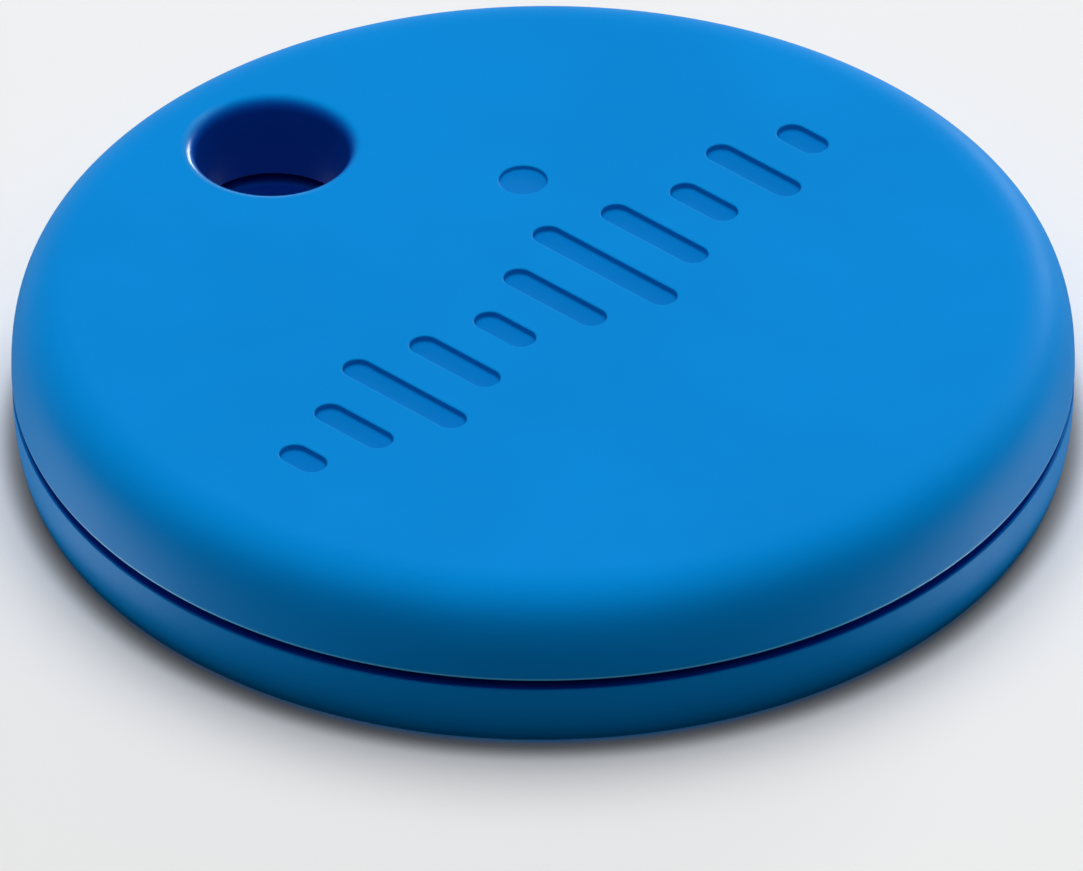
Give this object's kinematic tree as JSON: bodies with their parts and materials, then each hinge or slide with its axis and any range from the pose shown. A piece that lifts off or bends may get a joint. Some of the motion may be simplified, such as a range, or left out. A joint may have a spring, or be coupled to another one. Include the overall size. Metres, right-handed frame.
{
  "type": "bluetooth tracker tag",
  "caption": "Thin round tracker tag with rounded two-shell case, off-centre keyring hole, pressing face over a push switch, coin cell and sounder inside.",
  "frame": {"origin": "centre of the back cover's flat resting face", "axes": "+Z out of the pressing face, +Y towards the keyring hole, +X along the debossed mark"},
  "size_m": [0.038, 0.038, 0.0062],
  "materials": {
    "case_shell": "fine satin moulded polymer, bright blue",
    "clip_plastic": "satin moulded polymer, dark blue",
    "seal_rubber": "matt elastomer, navy",
    "moulded_black": "satin moulded polymer",
    "solder_mask": "green solder mask over glass-epoxy board",
    "chip_black": "moulded epoxy package",
    "pale_ceramic": "fired ceramic",
    "ferrite_grey": "sintered ferrite",
    "cell_steel": "bright nickel-plated steel",
    "gold_plate": "gold-plated spring strip",
    "piezo_brass": "rolled brass",
    "gasket_white": "natural polymer"
  },
  "bodies": {
    "back_half": {"back_cover": "case_shell", "inner_frame": "moulded_black", "circuit_board": "solder_mask", "hole_seal": "seal_rubber", "bluetooth_chip": "chip_black", "sounder_driver": "chip_black", "gate_resistor": "chip_black", "bleed_resistor": "chip_black", "main_crystal": "cell_steel", "clock_crystal": "cell_steel", "chip_antenna": "pale_ceramic", "decoupling_capacitor": "pale_ceramic", "antenna_capacitor": "pale_ceramic", "input_capacitor": "pale_ceramic", "boost_inductor": "ferrite_grey", "bulk_capacitor": "ferrite_grey", "positive_contact": "gold_plate", "negative_contact_base": "gold_plate", "ceramic_spring": "gold_plate", "disc_spring": "gold_plate", "switch_body": "moulded_black", "switch_plate": "cell_steel", "switch_dome": "cell_steel"},
    "front_half": {"clip_ring": "clip_plastic", "cover_seal": "seal_rubber"},
    "pressing_cover": {"front_cover": "case_shell", "piezo_disc": "piezo_brass", "piezo_ceramic": "pale_ceramic", "piezo_adhesive": "gasket_white"},
    "coin_cell": {"cell_can": "cell_steel", "cell_gasket": "gasket_white", "cell_cap": "cell_steel"},
    "contact_finger": {"negative_contact_finger": "gold_plate"},
    "plunger": {"switch_plunger": "gasket_white"}
  },
  "joints": [
    {"name": "front_half_lift", "type": "slide", "parent": "back_half", "child": "front_half", "axis": [0, 0, 1], "range_m": [0, 0.014]},
    {"name": "cover_press", "type": "slide", "parent": "front_half", "child": "pressing_cover", "axis": [0, 0, -1], "range_m": [0, 0.0002], "deforming": ["ceramic_spring", "disc_spring"]},
    {"name": "switch_press", "type": "slide", "parent": "back_half", "child": "plunger", "axis": [0, 0, -1], "range_m": [0, 0.0002], "deforming": ["switch_dome"]},
    {"name": "cell_lift", "type": "slide", "parent": "back_half", "child": "coin_cell", "axis": [0, 0, 1], "range_m": [0, 0.0056]},
    {"name": "finger_spring_up", "type": "hinge", "parent": "back_half", "child": "contact_finger", "pos_m": [-0.01035, -0.0045, 0.00113], "axis": [0, -1, 0], "range_deg": [0, 5]}
  ],
  "couplings": [
    {"joint": "switch_press", "follows": "cover_press", "ratio": 1},
    {"joint": "cell_lift", "follows": "front_half_lift", "ratio": 0.4},
    {"joint": "finger_spring_up", "follows": "front_half_lift", "rad_per_m": 6.2}
  ]
}
